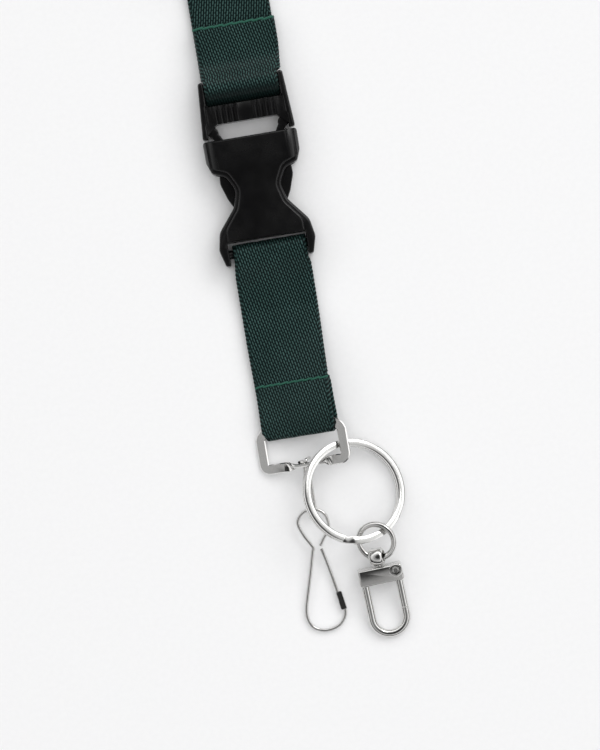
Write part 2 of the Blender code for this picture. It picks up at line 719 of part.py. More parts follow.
def build_hook_gate(frame):
    """The springy leg from the neck to the catch. Its pivot is at the neck."""
    corners = [(0, 0, 0), (0.7, -3.0, 0), (1.75, -8.6, 0), (2.5, -13.4, 0)]
    path = curve_through(corners, 5)
    solid("hook_gate", wire(path, HOOK_WIRE, 8), frame, "nickel_steel")


def build_split_ring(frame):
    """One flat wire wound twice, with the step where it climbs from the lower coil to the upper."""
    radius = RING_OUTER - RING_BAND / 2
    rise = COIL + COIL_GAP
    start = JOGGLE_START + JOGGLE_SPAN - math.tau
    end = JOGGLE_START + math.tau
    cut = math.radians(1.2)
    steps = 62
    lower = [start + cut + (JOGGLE_START - start - cut) * i / steps for i in range(steps)]
    climb = [JOGGLE_START + JOGGLE_SPAN * i / 6 for i in range(7)]
    first = JOGGLE_START + JOGGLE_SPAN
    upper = [first + (end - cut - first) * i / steps for i in range(1, steps + 1)]
    path = []
    for angle in lower + climb + upper:
        level = rise * (ease((angle - JOGGLE_START) / JOGGLE_SPAN) - 0.5)
        path.append((radius * math.cos(angle), radius * math.sin(angle), level))
    edge = 0.3
    w, t = RING_BAND / 2, COIL / 2
    section = [
        (w - edge, t), (-w + edge, t), (-w + 0.08, t - 0.08), (-w, t - edge), (-w, -t + edge),
        (-w + edge, -t), (w - edge, -t), (w, -t + edge), (w, t - edge), (w - 0.08, t - 0.08),
    ]
    solid("split_ring", sweep(path, section), frame, "nickel_steel")


def build_jump_ring(frame):
    path = [(x, y, 0) for x, y in circle(JUMP_RADIUS, 40)]
    solid("jump_ring", wire(path, JUMP_WIRE, 10, closed=True), frame, "nickel_steel")


def build_clasp_eye(frame):
    """The barrel that the jump ring passes through, along X, with the rivet's bore below it."""
    outer, length = EYE_RADIUS, 3.3
    profile = [
        (-length / 2, EYE_HOLE + 0.25), (-length / 2 + 0.1, outer - 0.35), (-length / 2 + 0.55, outer),
        (length / 2 - 0.55, outer), (length / 2 - 0.1, outer - 0.35), (length / 2, EYE_HOLE + 0.25),
    ]
    eye_frame = empty("eye_frame", (0, EYE_OFFSET, 0), Matrix.Rotation(-EYE_ROLL, 4, "Y"))
    eye_frame.parent = frame
    eye = solid("clasp_eye", lathe(profile, "X", 28), eye_frame, "nickel_steel")
    boolean(eye, "DIFFERENCE", cutter("eye_hole", lathe([(-3, EYE_HOLE), (3, EYE_HOLE)], "X", 20), eye_frame))
    radius = RIVET_RADIUS + SLACK
    bore = lathe([(-EYE_RADIUS - 0.5, radius), (-EYE_HOLE - 0.3, radius)], "Y", 16)
    boolean(eye, "DIFFERENCE", cutter("rivet_bore", bore, eye_frame))


def build_swivel_rivet(frame):
    top = EYE_OFFSET - EYE_HOLE - 0.42
    profile = [
        (top, RIVET_RADIUS), (HEAD_TOP - 1.15, RIVET_RADIUS), (HEAD_TOP - 1.15, 1.2), (HEAD_TOP - 1.75, 1.2),
    ]
    solid("swivel_rivet", lathe(profile, "Y", 16), frame, "nickel_steel")


def build_clasp_head(frame):
    """A flat block with bores for the rivet and the bail, and a slot for the gate."""
    half, low, high = HEAD_HALF, HEAD_BOTTOM, HEAD_TOP
    outline = rounded(mirrored([(half - 0.15, high, 0.5), (half, low, 0.8)]))
    block = slab(outline, -HEAD_THICK / 2, HEAD_THICK / 2, 0.45, 0.45)
    head = solid("clasp_head", block, frame, "nickel_steel")
    boss = lathe([
        (HEAD_THICK / 2 - 0.4, 1.6), (HEAD_THICK / 2 + 0.25, 1.6), (HEAD_THICK / 2 + 0.4, 1.45),
        (HEAD_THICK / 2 + 0.4, 0.9),
    ], "Z", 24)
    boss_frame = empty("boss_frame", (*GATE_PIN, 0))
    boss_frame.parent = frame
    boolean(head, "UNION", cutter("boss", boss, boss_frame))
    neck_bore = lathe([(HEAD_TOP + 1, RIVET_RADIUS + SLACK), (HEAD_TOP - 1.0, RIVET_RADIUS + SLACK)], "Y", 16)
    boolean(head, "DIFFERENCE", cutter("neck_bore", neck_bore, frame))
    cavity = lathe([(HEAD_TOP - 0.9, 1.4), (HEAD_TOP - 2.0, 1.4)], "Y", 20)
    boolean(head, "DIFFERENCE", cutter("rivet_cavity", cavity, frame))
    radius = BAIL_WIRE / 2 + 0.12
    leg_bore = lathe([(HEAD_TOP - 1.0, radius), (HEAD_BOTTOM - 1, radius)], "Y", 20)
    leg_frame = empty("leg_bore_frame", (-BAIL_HALF, 0, 0))
    leg_frame.parent = frame
    boolean(head, "DIFFERENCE", cutter("leg_bore", leg_bore, leg_frame))
    low, high = HEAD_BOTTOM - 1, HEAD_TOP - 0.35
    wall, outside = 1.75, HEAD_HALF + 1.0
    slot = slab([
        (SPRING_SEAT, low), (outside, low), (outside, high), (wall + 0.6, high), (wall, HEAD_TOP - 1.2),
        (wall, HEAD_TOP - 2.05), (SPRING_SEAT, HEAD_TOP - 2.4),
    ], -1.1, 1.1)
    boolean(head, "DIFFERENCE", cutter("gate_slot", slot, frame))
    pin_bore = lathe([(-3, GATE_PIN_RADIUS + SLACK), (3, GATE_PIN_RADIUS + SLACK)], "Z", 16)
    boolean(head, "DIFFERENCE", cutter("pin_bore", pin_bore, boss_frame))


def build_bail(frame):
    """The fixed part of the clasp's loop: its left leg, the bow and the nose that meets the gate."""
    path = [(-BAIL_HALF, HEAD_TOP - 1.35, 0), (-BAIL_HALF, HEAD_BOTTOM, 0), (-BAIL_HALF, -10.4, 0)]
    bow = [
        (-BAIL_HALF * math.cos(a), BAIL_ARC_Y - BAIL_HALF * math.sin(a), 0)
        for a in [math.pi * i / 20 for i in range(21)]
    ]
    path += bow + [(BAIL_HALF, GATE_END_Y - 0.12, 0)]
    solid("clasp_bail", wire(path, BAIL_WIRE, 14), frame, "nickel_steel")


def build_clasp_gate(pivot):
    """The hinged leg, in a frame at its pin."""
    x = BAIL_HALF - GATE_PIN[0]
    top = -GATE_PIN[1]
    path = [(0, 0.95, 0), (0, 0.75, 0), (0, 0.45, 0), (0.12, -1.0, 0), (x - 0.05, -2.4, 0), (x, -3.2, 0)]
    path.append((x, GATE_END_Y + top + 0.12, 0))
    widths = [0.5, 0.8, 1, 1, 1, 1, 1]
    sections = [circle(BAIL_WIRE / 2 * width, 14) for width in widths]
    gate = solid("clasp_gate", sweep(path, sections), pivot, "nickel_steel")
    bore = lathe([(-3, GATE_PIN_RADIUS + SLACK), (3, GATE_PIN_RADIUS + SLACK)], "Z", 16)
    boolean(gate, "DIFFERENCE", cutter("gate_bore", bore, pivot))


def build_gate_pin(pivot):
    top = HEAD_THICK / 2 + 0.3
    profile = [(-HEAD_THICK / 2 + 0.1, GATE_PIN_RADIUS), (top, GATE_PIN_RADIUS)]
    solid("gate_pin", lathe(profile, "Z", 16), pivot, "nickel_steel")


def build_gate_spring(frame):
    """A small coil spring between the slot's wall and the gate."""
    turns, steps = 3, 10
    start, length, radius = SPRING_SEAT + 0.1, 0.46, 0.6
    path = []
    for step in range(turns * steps + 1):
        angle = math.tau * step / steps
        x = start + length * step / (turns * steps)
        path.append((x, -4.9 + radius * math.cos(angle), radius * math.sin(angle)))
    solid("gate_spring", wire(path, 0.12, 5, up=(1, 0, 0)), frame, "nickel_steel")


def tilt_from(rise):
    """The turn that lifts a level frame so that its plane climbs by rise along X and Y."""
    normal = Vector((-rise.x, -rise.y, 1)).normalized()
    return Vector((0, 0, 1)).rotation_difference(normal).to_matrix().to_4x4()


def build():
    clear_scene()
    root = empty("lanyard", (0, 0, 0))
    build_neck_strap(root)
    build_male_frame(root)
    build_prong(root, 1, "prong_right")
    build_prong(root, -1, "prong_left")
    slide = empty("female_slide", (0, 0, 0), parent=root)
    build_female_body(slide)
    build_lower_webbing(slide)
    bracket_frame = empty("bracket_frame", BRACKET_CENTRE, Matrix.Rotation(-BRACKET_ROLL, 4, "Y"), root)
    build_bracket(bracket_frame)
    link_turn = Matrix.Rotation(LINK_SLOPE, 4, "X") @ Matrix.Rotation(LINK_ROLL, 4, "Y")
    build_link(empty("link_frame", LINK_START, link_turn, root))
    hook_turn = Matrix.Rotation(HOOK_SLOPE, 4, "X")
    hook_frame = empty("hook_frame", HOOK_PIVOT, hook_turn, root)
    build_hook(hook_frame)
    gate_place = Vector(HOOK_PIVOT) + hook_turn.to_3x3() @ Vector((0.95, -9.75, 0))
    build_hook_gate(empty("hook_gate_frame", gate_place, hook_turn, root))
    build_split_ring(empty("ring_frame", RING_CENTRE, tilt_from(RING_UP * math.tan(RING_TILT)), root))
    build_jump_ring(empty("jump_frame", JUMP_CENTRE, tilt_from(JUMP_RISE), root))
    clasp_turn = Matrix.Rotation(CLASP_TURN, 4, "Z") @ Matrix.Rotation(CLASP_SLOPE, 4, "X")
    clasp = empty("clasp_frame", CLASP_PIVOT, clasp_turn, root)
    build_clasp_eye(clasp)
    build_swivel_rivet(clasp)
    build_clasp_head(clasp)
    build_bail(clasp)
    build_gate_spring(clasp)
    gate_place = Vector(CLASP_PIVOT) + clasp_turn.to_3x3() @ Vector((*GATE_PIN, 0))
    gate_frame = empty("clasp_gate_frame", gate_place, clasp_turn, root)
    build_clasp_gate(gate_frame)
    build_gate_pin(gate_frame)
    root.location.y = -12.0 * MM


build()
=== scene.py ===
import math

import bpy
import numpy as np
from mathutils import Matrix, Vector


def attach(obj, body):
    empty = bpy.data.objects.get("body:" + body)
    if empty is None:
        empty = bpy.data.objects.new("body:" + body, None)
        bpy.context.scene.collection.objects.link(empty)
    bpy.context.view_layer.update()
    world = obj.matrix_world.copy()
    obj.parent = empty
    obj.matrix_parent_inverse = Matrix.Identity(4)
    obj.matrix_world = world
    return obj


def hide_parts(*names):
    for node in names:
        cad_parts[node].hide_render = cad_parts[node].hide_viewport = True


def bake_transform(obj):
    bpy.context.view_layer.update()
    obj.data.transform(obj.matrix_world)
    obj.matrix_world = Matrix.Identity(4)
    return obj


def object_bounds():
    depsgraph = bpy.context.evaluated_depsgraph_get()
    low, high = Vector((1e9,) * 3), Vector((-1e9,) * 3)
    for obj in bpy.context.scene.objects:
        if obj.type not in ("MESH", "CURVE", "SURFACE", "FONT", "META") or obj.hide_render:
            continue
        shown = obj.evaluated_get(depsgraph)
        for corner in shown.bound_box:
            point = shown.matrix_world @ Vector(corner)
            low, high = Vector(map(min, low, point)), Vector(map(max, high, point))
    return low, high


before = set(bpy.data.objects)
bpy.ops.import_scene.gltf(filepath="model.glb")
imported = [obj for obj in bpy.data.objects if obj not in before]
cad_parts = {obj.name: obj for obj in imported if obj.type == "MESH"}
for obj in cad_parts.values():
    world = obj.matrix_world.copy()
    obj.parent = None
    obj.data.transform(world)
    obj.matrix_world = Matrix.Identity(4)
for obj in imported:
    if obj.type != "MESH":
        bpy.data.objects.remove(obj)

cad_low, cad_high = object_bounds()

# The straps are laid out in millimetres, which MM turns into metres. Their y runs along the lanyard towards
# the neck, and the frame's origin, below the buckle's waist, is at y = WAIST_Y. The floor, lights and camera
# are in metres.
MM = 0.001
WAIST_Y = 12.0

STRAP_THICK = 0.96
SELVEDGE_PITCH = 1.05  # of the cross bars along a strap's edges, and of the scallops they make


def spot(x, y, z):
    return Vector((x, y - WAIST_Y, z)) * MM


def ramp(y, start, width):
    """0 at y = start, 1 at start + width and a smooth step between; a negative width runs towards lower y."""
    share = min(max((y - start) / width, 0.0), 1.0)
    return share * share * (3 - 2 * share)


def new_object(name, data):
    made = bpy.data.objects.new(name, data)
    bpy.context.scene.collection.objects.link(made)
    return made


# ---------------------------------------------------------------- materials


class Nodes:
    """A short way to write the nodes of a material or a world, around its shader."""

    def __init__(self, owner, shader):
        owner.use_nodes = True
        self.owner = owner
        self.tree = owner.node_tree
        self.shader = self.tree.nodes[shader]

    def put(self, socket, value):
        if isinstance(value, bpy.types.NodeSocket):
            self.tree.links.new(value, socket)
        elif isinstance(value, tuple) and len(value) == 3 and socket.type == "RGBA":
            socket.default_value = (*value, 1)
        else:
            socket.default_value = value

    def fill(self, made, *values):
        """Sets a node's first inputs, and returns its first output."""
        for socket, value in zip(made.inputs, values):
            self.put(socket, value)
        return made.outputs[0]

    def math(self, operation, *values):
        made = self.tree.nodes.new("ShaderNodeMath")
        made.operation = operation
        return self.fill(made, *values)

    def add(self, a, b):
        return self.math("ADD", a, b)

    def times(self, a, b):
        return self.math("MULTIPLY", a, b)

    def dot(self, a, b):
        made = self.tree.nodes.new("ShaderNodeVectorMath")
        made.operation = "DOT_PRODUCT"
        self.fill(made, a, b)
        return made.outputs["Value"]

    def split(self, vector):
        made = self.tree.nodes.new("ShaderNodeSeparateXYZ")
        self.fill(made, vector)
        return made.outputs

    def join(self, x, y):
        return self.fill(self.tree.nodes.new("ShaderNodeCombineXYZ"), x, y)

    def attribute(self, name):
        made = self.tree.nodes.new("ShaderNodeAttribute")
        made.attribute_name = name
        return made.outputs["Vector"]

    def coordinates(self, kind="Object"):
        return self.tree.nodes.new("ShaderNodeTexCoord").outputs[kind]

    def noise(self, vector, scale, detail, roughness=0.55):
        made = self.tree.nodes.new("ShaderNodeTexNoise")
        self.put(made.inputs["Vector"], vector)
        made.inputs["Scale"].default_value = scale
        made.inputs["Detail"].default_value = detail
        made.inputs["Roughness"].default_value = roughness
        return made.outputs["Fac"]

    def stretched(self, vector, scale):
        made = self.tree.nodes.new("ShaderNodeMapping")
        self.put(made.inputs["Vector"], vector)
        made.inputs["Scale"].default_value = scale
        return made.outputs[0]

    def mix(self, share, a, b):
        made = self.tree.nodes.new("ShaderNodeMix")
        made.data_type = "RGBA"
        self.put(made.inputs["Factor"], share)
        colours = [s for s in made.inputs if s.type == "RGBA"]
        self.put(colours[0], a)
        self.put(colours[1], b)
        return next(s for s in made.outputs if s.type == "RGBA")

    def span(self, value, low, high, to_low, to_high, interpolation="SMOOTHSTEP"):
        made = self.tree.nodes.new("ShaderNodeMapRange")
        made.interpolation_type = interpolation
        return self.fill(made, value, low, high, to_low, to_high)

    def bump(self, height, distance, strength, under=None):
        made = self.tree.nodes.new("ShaderNodeBump")
        self.put(made.inputs["Height"], height)
        made.inputs["Distance"].default_value = distance
        made.inputs["Strength"].default_value = strength
        if under is not None:
            self.put(made.inputs["Normal"], under)
        return made.outputs[0]

    def greys(self, value, stops):
        """A colour ramp of greys through (position, brightness) stops."""
        def grey(brightness):
            return (brightness, brightness, brightness, 1)

        made = self.tree.nodes.new("ShaderNodeValToRGB")
        elements = made.color_ramp.elements
        (first, first_brightness), *between, (last, last_brightness) = stops
        elements[0].position, elements[0].color = first, grey(first_brightness)
        elements[1].position, elements[1].color = last, grey(last_brightness)
        for position, brightness in between:
            elements.new(position).color = grey(brightness)
        return self.fill(made, value)

    def finish(self, **inputs):
        for key, value in inputs.items():
            self.put(self.shader.inputs[key.replace("_", " ")], value)
        return self.owner


def material_nodes(name):
    return Nodes(bpy.data.materials.new(name), "Principled BSDF")


def webbing(name, fold):
    """Woven webbing: steep twill ribs of broken floats, with cross bars along both selvedges.

    The strap attribute holds (across, along, distance from the nearer edge) in millimetres.
    fold is how much of the colour is left near the strap's turn, at along = 0: painted shade where the strap
    turns round a bar away from the light.
    """
    rib_pitch, rib_lean, rib_wander = 0.6, math.radians(12.5), 0.35
    float_pitch, float_shift, float_jitter = 1.2, 0.415, 0.22
    bar_lean, bar_height, dip_depth = 1.9, 0.75, 0.12
    n = material_nodes(name)
    strap = n.attribute("strap")
    across, along, edge = n.split(strap)

    # The ribs lean across the strap, and each is broken into floats that shift from rib to rib.
    wander = n.noise(n.stretched(strap, (0.6, 0.35, 0.0)), 1.0, 2.0)
    rib = n.add(across, n.times(along, math.tan(rib_lean)))
    rib = n.times(n.add(rib, n.times(wander, rib_wander)), math.cos(rib_lean) / rib_pitch)
    index = n.math("FLOOR", rib)
    crest = n.math("SINE", n.times(n.math("FRACT", rib), math.pi))
    jitter = n.noise(n.join(n.times(index, 7.3), n.times(along, 0.12)), 1.0, 1.0)
    step = n.add(n.times(along, 1 / float_pitch), n.times(index, float_shift))
    step = n.math("FRACT", n.add(step, n.times(jitter, float_jitter)))
    rising, falling = n.span(step, 0.0, 0.14, 0.0, 1.0), n.span(step, 0.66, 0.84, 1.0, 0.0)
    on_float = n.add(n.times(n.times(rising, falling), 0.62), 0.38)
    face = n.times(n.math("POWER", crest, 2.2), on_float)
    face = n.add(n.times(face, 0.8), n.times(crest, 0.2))

    # A selvedge has slanted bars, with a narrow dip between them and the ribs.
    bars = n.add(n.times(along, math.pi / SELVEDGE_PITCH), n.times(edge, bar_lean))
    bars = n.math("POWER", n.math("ABSOLUTE", n.math("SINE", bars)), 1.6)
    border = n.span(edge, 0.5, 0.85, 1.0, 0.0)
    dip = n.times(n.span(edge, 0.45, 0.65, 0.0, 1.0), n.span(edge, 0.65, 0.85, 1.0, 0.0))
    face = n.times(face, n.math("SUBTRACT", 1.0, border))
    height = n.add(face, n.times(n.times(bars, bar_height), border))
    height = n.math("SUBTRACT", height, n.times(dip, dip_depth))

    # By the height, the colour is painted shade between the floats and a painted highlight on their crests;
    # the yarn also varies slowly along the strap.
    # The first colour is painted shade for the gaps, and the last a painted highlight for the crests.
    gap_shade, body = (0.0003, 0.0014, 0.0014), (0.0028, 0.0095, 0.0092)
    light = (0.0560, 0.1180, 0.1080)
    fibre = n.noise(n.stretched(strap, (9.0, 1.6, 0.0)), 1.0, 3.0, 0.7)
    large = n.noise(n.stretched(strap, (0.12, 0.09, 0.0)), 1.0, 2.0)
    # Painted shade: near along = 0, where the strap turns round a bar away from the light, the colour falls
    # to the share fold.
    bend = n.span(n.math("ABSOLUTE", along), 3.3, 5.3, fold, 1.0)
    shade = n.mix(n.times(n.span(height, 0.08, 0.48, 0.0, 1.0), bend), gap_shade, body)
    bright = n.times(n.span(height, 0.35, 0.95, 0.0, 1.0), n.span(fibre, 0.3, 0.7, 0.55, 1.0))
    bright = n.times(bright, n.span(large, 0.35, 0.65, 0.75, 1.0))
    bright = n.times(bright, bend)
    return n.finish(
        Base_Color=n.mix(bright, shade, light),
        Roughness=n.span(height, 0.1, 0.9, 0.8, 0.40),
        Normal=n.bump(n.add(height, n.times(fibre, 0.12)), 0.14 * MM, 0.8),
        Specular_IOR_Level=0.22,
        Specular_Tint=(0.55, 0.95, 0.9, 1.0),
        Coat_Weight=0.14,
        Coat_Roughness=0.25,
        Coat_IOR=1.6,
        Sheen_Weight=0.03,
        Sheen_Roughness=0.4,
        Sheen_Tint=(0.45, 0.75, 0.68, 1.0),
    )


def thread(name):
    """Spun sewing thread: each ply is modelled, and the nodes add the fibres in it.

    The strand attribute holds (angle round the ply, four times the length in millimetres, number of the ply).
    """
    n = material_nodes(name)
    fibre = n.noise(n.stretched(n.attribute("strand"), (2.2, 4.0, 0.0)), 1.0, 3.0, 0.7)
    return n.finish(
        Base_Color=n.mix(n.span(fibre, 0.3, 0.7, 0.0, 1.0), (0.006, 0.050, 0.034), (0.032, 0.165, 0.112)),
        Roughness=n.span(fibre, 0.3, 0.7, 0.62, 0.4),
        Normal=n.bump(fibre, 0.05 * MM, 0.8),
        Specular_IOR_Level=0.45,
        Sheen_Weight=0.15,
        Sheen_Tint=(0.4, 0.9, 0.7, 1.0),
    )


def plastic(name):
    """Moulded acetal: satin, with a very fine eroded grain and a few rubbed places."""
    n = material_nodes(name)
    place = n.coordinates()
    grain = n.noise(place, 5200.0, 2.0, 0.6)
    cloud = n.noise(place, 160.0, 4.0, 0.6)
    rub = n.noise(n.stretched(place, (1.0, 0.25, 1.0)), 900.0, 3.0, 0.7)
    dark, pale = (0.0030, 0.0030, 0.0032), (0.0052, 0.0052, 0.0054)
    return n.finish(
        Base_Color=n.mix(n.span(cloud, 0.3, 0.7, 0.0, 1.0), dark, pale),
        Roughness=n.add(n.span(cloud, 0.3, 0.7, 0.22, 0.28), n.span(rub, 0.55, 0.8, 0.0, -0.03)),
        Normal=n.bump(grain, 0.012 * MM, 0.5),
        Specular_IOR_Level=0.42,
    )


def nickel(name, rough, grain_scale, grain_depth, brush=(1.0, 1.0, 1.0), tint=(0.80, 0.795, 0.78)):
    """Nickel plate: bright metal with faint scratches, a wavy plated surface and slightly uneven polish."""
    n = material_nodes(name)
    place = n.coordinates()
    cloud = n.noise(place, 260.0, 3.0)
    scratch = n.noise(n.stretched(place, brush), grain_scale, 4.0, 0.65)
    wave = n.noise(place, 420.0, 1.0)
    polish = n.span(cloud, 0.3, 0.7, rough * 0.8, rough * 1.25)
    return n.finish(
        Base_Color=n.mix(n.span(cloud, 0.3, 0.7, 0.0, 1.0), tuple(0.93 * c for c in tint), tint),
        Metallic=1.0,
        Roughness=n.add(polish, n.span(scratch, 0.5, 0.75, 0.0, rough * 0.5)),
        Normal=n.bump(scratch, grain_depth * MM, 0.5, n.bump(wave, 0.02 * MM, 0.6)),
    )


def rubber(name):
    """A soft moulded band: matt, with a fine stipple and lighter dusty wear."""
    n = material_nodes(name)
    place = n.coordinates()
    stipple = n.noise(place, 3600.0, 2.0, 0.7)
    dust = n.noise(place, 220.0, 4.0, 0.65)
    return n.finish(
        Base_Color=n.mix(n.span(dust, 0.45, 0.75, 0.0, 1.0), (0.010, 0.010, 0.011), (0.024, 0.024, 0.025)),
        Roughness=n.span(dust, 0.3, 0.7, 0.62, 0.8),
        Normal=n.bump(stipple, 0.03 * MM, 0.7),
        Specular_IOR_Level=0.35,
    )


def paper(name):
    """The pale floor: smooth matt card."""
    n = material_nodes(name)
    tooth = n.noise(n.coordinates(), 900.0, 4.0, 0.6)
    return n.finish(
        Base_Color=n.mix(n.span(tooth, 0.3, 0.7, 0.0, 1.0), (0.885, 0.885, 0.89), (0.90, 0.90, 0.905)),
        Roughness=0.9,
        Normal=n.bump(tooth, 0.02 * MM, 0.25),
        Specular_IOR_Level=0.1,
    )


# ---------------------------------------------------------------- meshes


def mesh_object(name, points, faces, material):
    mesh = bpy.data.meshes.new(name)
    mesh.from_pydata([tuple(p) for p in points], [], faces)
    mesh.polygons.foreach_set("use_smooth", [True] * len(mesh.polygons))
    mesh.materials.append(material)
    mesh.update()
    return new_object(name, mesh)


def store(made, name, values):
    attribute = made.data.attributes.new(name, "FLOAT_VECTOR", "POINT")
    attribute.data.foreach_set("vector", np.asarray(values, dtype=np.float32).ravel())


def turn_out(made):
    """Turns a closed mesh's faces outwards, by the sign of a rough volume."""
    volume = 0.0
    for face in made.data.polygons:
        a, b, c = (made.data.vertices[i].co for i in face.vertices[:3])
        volume += a.dot(b.cross(c)) * (2 if len(face.vertices) == 4 else 1)
    if volume < 0:
        made.data.flip_normals()


def smooth_path(corners, steps=14):
    """A dense Catmull-Rom path through 2-D or 3-D corners."""
    p = np.array(corners, dtype=float)
    p = np.vstack([2 * p[0] - p[1], p, 2 * p[-1] - p[-2]])
    out = []
    for a, b, c, d in zip(p, p[1:], p[2:], p[3:]):
        square = 2 * a - 5 * b + 4 * c - d
        cube = 3 * b - a - 3 * c + d
        for t in np.arange(steps) / steps:
            out.append(0.5 * (2 * b + (c - a) * t + square * t**2 + cube * t**3))
    out.append(p[-2])
    return np.array(out)


def respaced(path, spacing):
    """The path with its points at the distance that spacing(point) asks for."""
    gaps = np.linalg.norm(np.diff(path, axis=0), axis=1)
    middles = (path[1:] + path[:-1]) / 2
    wanted = np.array([spacing(m) for m in middles])
    count = np.concatenate([[0], np.cumsum(gaps / wanted)])
    samples = np.linspace(0, count[-1], max(4, int(round(count[-1]))) + 1)
    return np.column_stack([np.interp(samples, count, path[:, k]) for k in range(path.shape[1])])


def finer_before(y, near, far):
    """A spacing for respaced: near for points before y, and far beyond it."""
    return lambda point: near if point[0] < y else far


def lengths_along(path):
    """The length along the path at each of its points."""
    return np.concatenate([[0], np.cumsum(np.linalg.norm(np.diff(path, axis=0), axis=1))])


def tangents(path):
    tangent = np.gradient(path, axis=0)
    return tangent / np.linalg.norm(tangent, axis=1)[:, None]


def normals_2d(path):
    tangent = tangents(path)
    return np.column_stack([-tangent[:, 1], tangent[:, 0]])


def lowest_turn(path):
    """The length along the path at its lowest y, where the strap turns back."""
    return lengths_along(path)[int(np.argmin(path[:, 0]))]


def ribbon(name, path, edges, place, material):
    """A strap of woven webbing along a (y, height) path, as one closed mesh, and its length.

    edges(y, height) gives its left and right edge, and place(x, y, height) puts a point in space.
    The weave is counted from the path's lowest turn.
    """
    selvedge = [0.0, 0.10, 0.32, 0.8, 1.35]  # the columns nearest an edge, by their distance from it
    columns = 22  # evenly spaced, from selvedge to selvedge
    rounding, ripple, scallop_depth, scallop_width = 0.42, 0.05, 0.045, 0.4
    turn_at = lowest_turn(path)
    length = lengths_along(path)
    points, strap = [], []
    for (y, h), (ny, nh), s in zip(path, normals_2d(path), length):
        left, right = edges(y, h)
        wide = right - left
        mid = np.linspace(selvedge[-1], wide - selvedge[-1], columns)[1:-1]
        across = np.concatenate([selvedge, mid, wide - np.array(selvedge[::-1])])
        nearer = np.minimum(across, wide - across)
        half = STRAP_THICK / 2 * np.sqrt(1 - (1 - np.clip(nearer / rounding, 0, 1)) ** 2)
        wave = ripple * np.sin(0.62 * across + 0.21 * s) * np.sin(0.37 * s + 0.5 * across)
        scallop = scallop_depth * math.sin(2 * math.pi * s / SELVEDGE_PITCH)
        outward = np.where(across < wide / 2, -1, 1) * np.exp(-(nearer / scallop_width) ** 2) * scallop
        xs = left + across + outward
        top = [(x, y + ny * (t + w), h + nh * (t + w)) for x, t, w in zip(xs, half, wave)]
        under = [(x, y + ny * (w - t), h + nh * (w - t)) for x, t, w in zip(xs, half, wave)]
        marks = [(a - wide / 2, abs(s - turn_at), e) for a, e in zip(across, nearer)]
        points += [place(*p) for p in top + under[-2:0:-1]]
        strap += marks + marks[-2:0:-1]
    size = len(points) // len(path)
    faces = []
    for k in range(len(path) - 1):
        a, b = k * size, (k + 1) * size
        faces += [(a + i, b + i, b + (i + 1) % size, a + (i + 1) % size) for i in range(size)]
    last = (len(path) - 1) * size
    faces.append(tuple(range(size)))
    faces.append(tuple(last + i for i in reversed(range(size))))
    made = mesh_object(name, points, faces, material)
    turn_out(made)
    store(made, "strap", strap)
    return made, length[-1]


def plies(name, routes, radius, material):
    """Twisted thread along each route of 3-D points, in millimetres: closed tubes wound round each other."""
    twist, count, sides = 0.95, 3, 7  # the length of one turn, the plies, and the sides of each
    spacing, taper, tip = 0.09, 0.15, 0.25  # over the taper at each end, a ply thins to this share
    from_middle, thickness = 0.5, 0.62  # a ply's distance from the middle and its radius, as shares
    points, faces, strand = [], [], []
    for route in routes:
        route = respaced(smooth_path(route, 10), lambda p: spacing)
        tangent = tangents(route)
        side = np.cross(tangent, np.array([0.0, 0.0, 1.0]))
        side /= np.linalg.norm(side, axis=1)[:, None]
        up = np.cross(side, tangent)
        length = lengths_along(route)
        radii = np.clip(np.minimum(length, length[-1] - length) / taper, tip, 1.0) * radius * thickness
        for ply in range(count):
            phase = 2 * math.pi * (length / twist + ply / count)
            around = np.cos(phase)[:, None] * side + np.sin(phase)[:, None] * up
            centre = route + radius * from_middle * around
            first = len(points)
            for middle, aside, above, r, s in zip(centre, side, up, radii, length):
                for k in range(sides):
                    angle = 2 * math.pi * k / sides
                    points.append(spot(*(middle + r * (math.cos(angle) * aside + math.sin(angle) * above))))
                    strand.append((angle, s * 4, ply))
            last = len(points) - sides
            for a in range(first, last, sides):
                b = a + sides
                faces += [(a + i, a + (i + 1) % sides, b + (i + 1) % sides, b + i) for i in range(sides)]
            faces.append(tuple(first + i for i in reversed(range(sides))))
            faces.append(tuple(last + i for i in range(sides)))
    made = mesh_object(name, points, faces, material)
    turn_out(made)
    store(made, "strand", strand)
    return made


def dent(y, seam_y, depth, width):
    """How far the thread of a seam pulls the cloth in."""
    return depth * math.exp(-(((y - seam_y) / width) ** 2))


# ---------------------------------------------------------------- the neck strap

NECK_X = 0.45
BAR_Y, BAR_Z = 37.4, 3.5
WRAP_SHIFT, WRAP_Y, WRAP_Z = 0.45, 2.8, 2.4  # the ellipse of the two layers' middle line round the bar
LAYER_OFFSET = 0.5  # of each layer's middle line from the middle line of the two
HANK_START, HANK_LENGTH, HANK_LIFT = 68.0, 114.0, 1.05
HANK_FOLDS, HANK_PITCH = 3, 2.0  # each of the hank's runs is two layers thick
TAIL_Y = 52.35  # the sewn end
TAIL_LOW, TAIL_REACH = 2.2, 56.0  # what is above this height before this y is the sewn end
NECK_SEAM_Y = 52.0
NECK_THREAD_Z = 3.88  # the height from which the seam's stitches rise


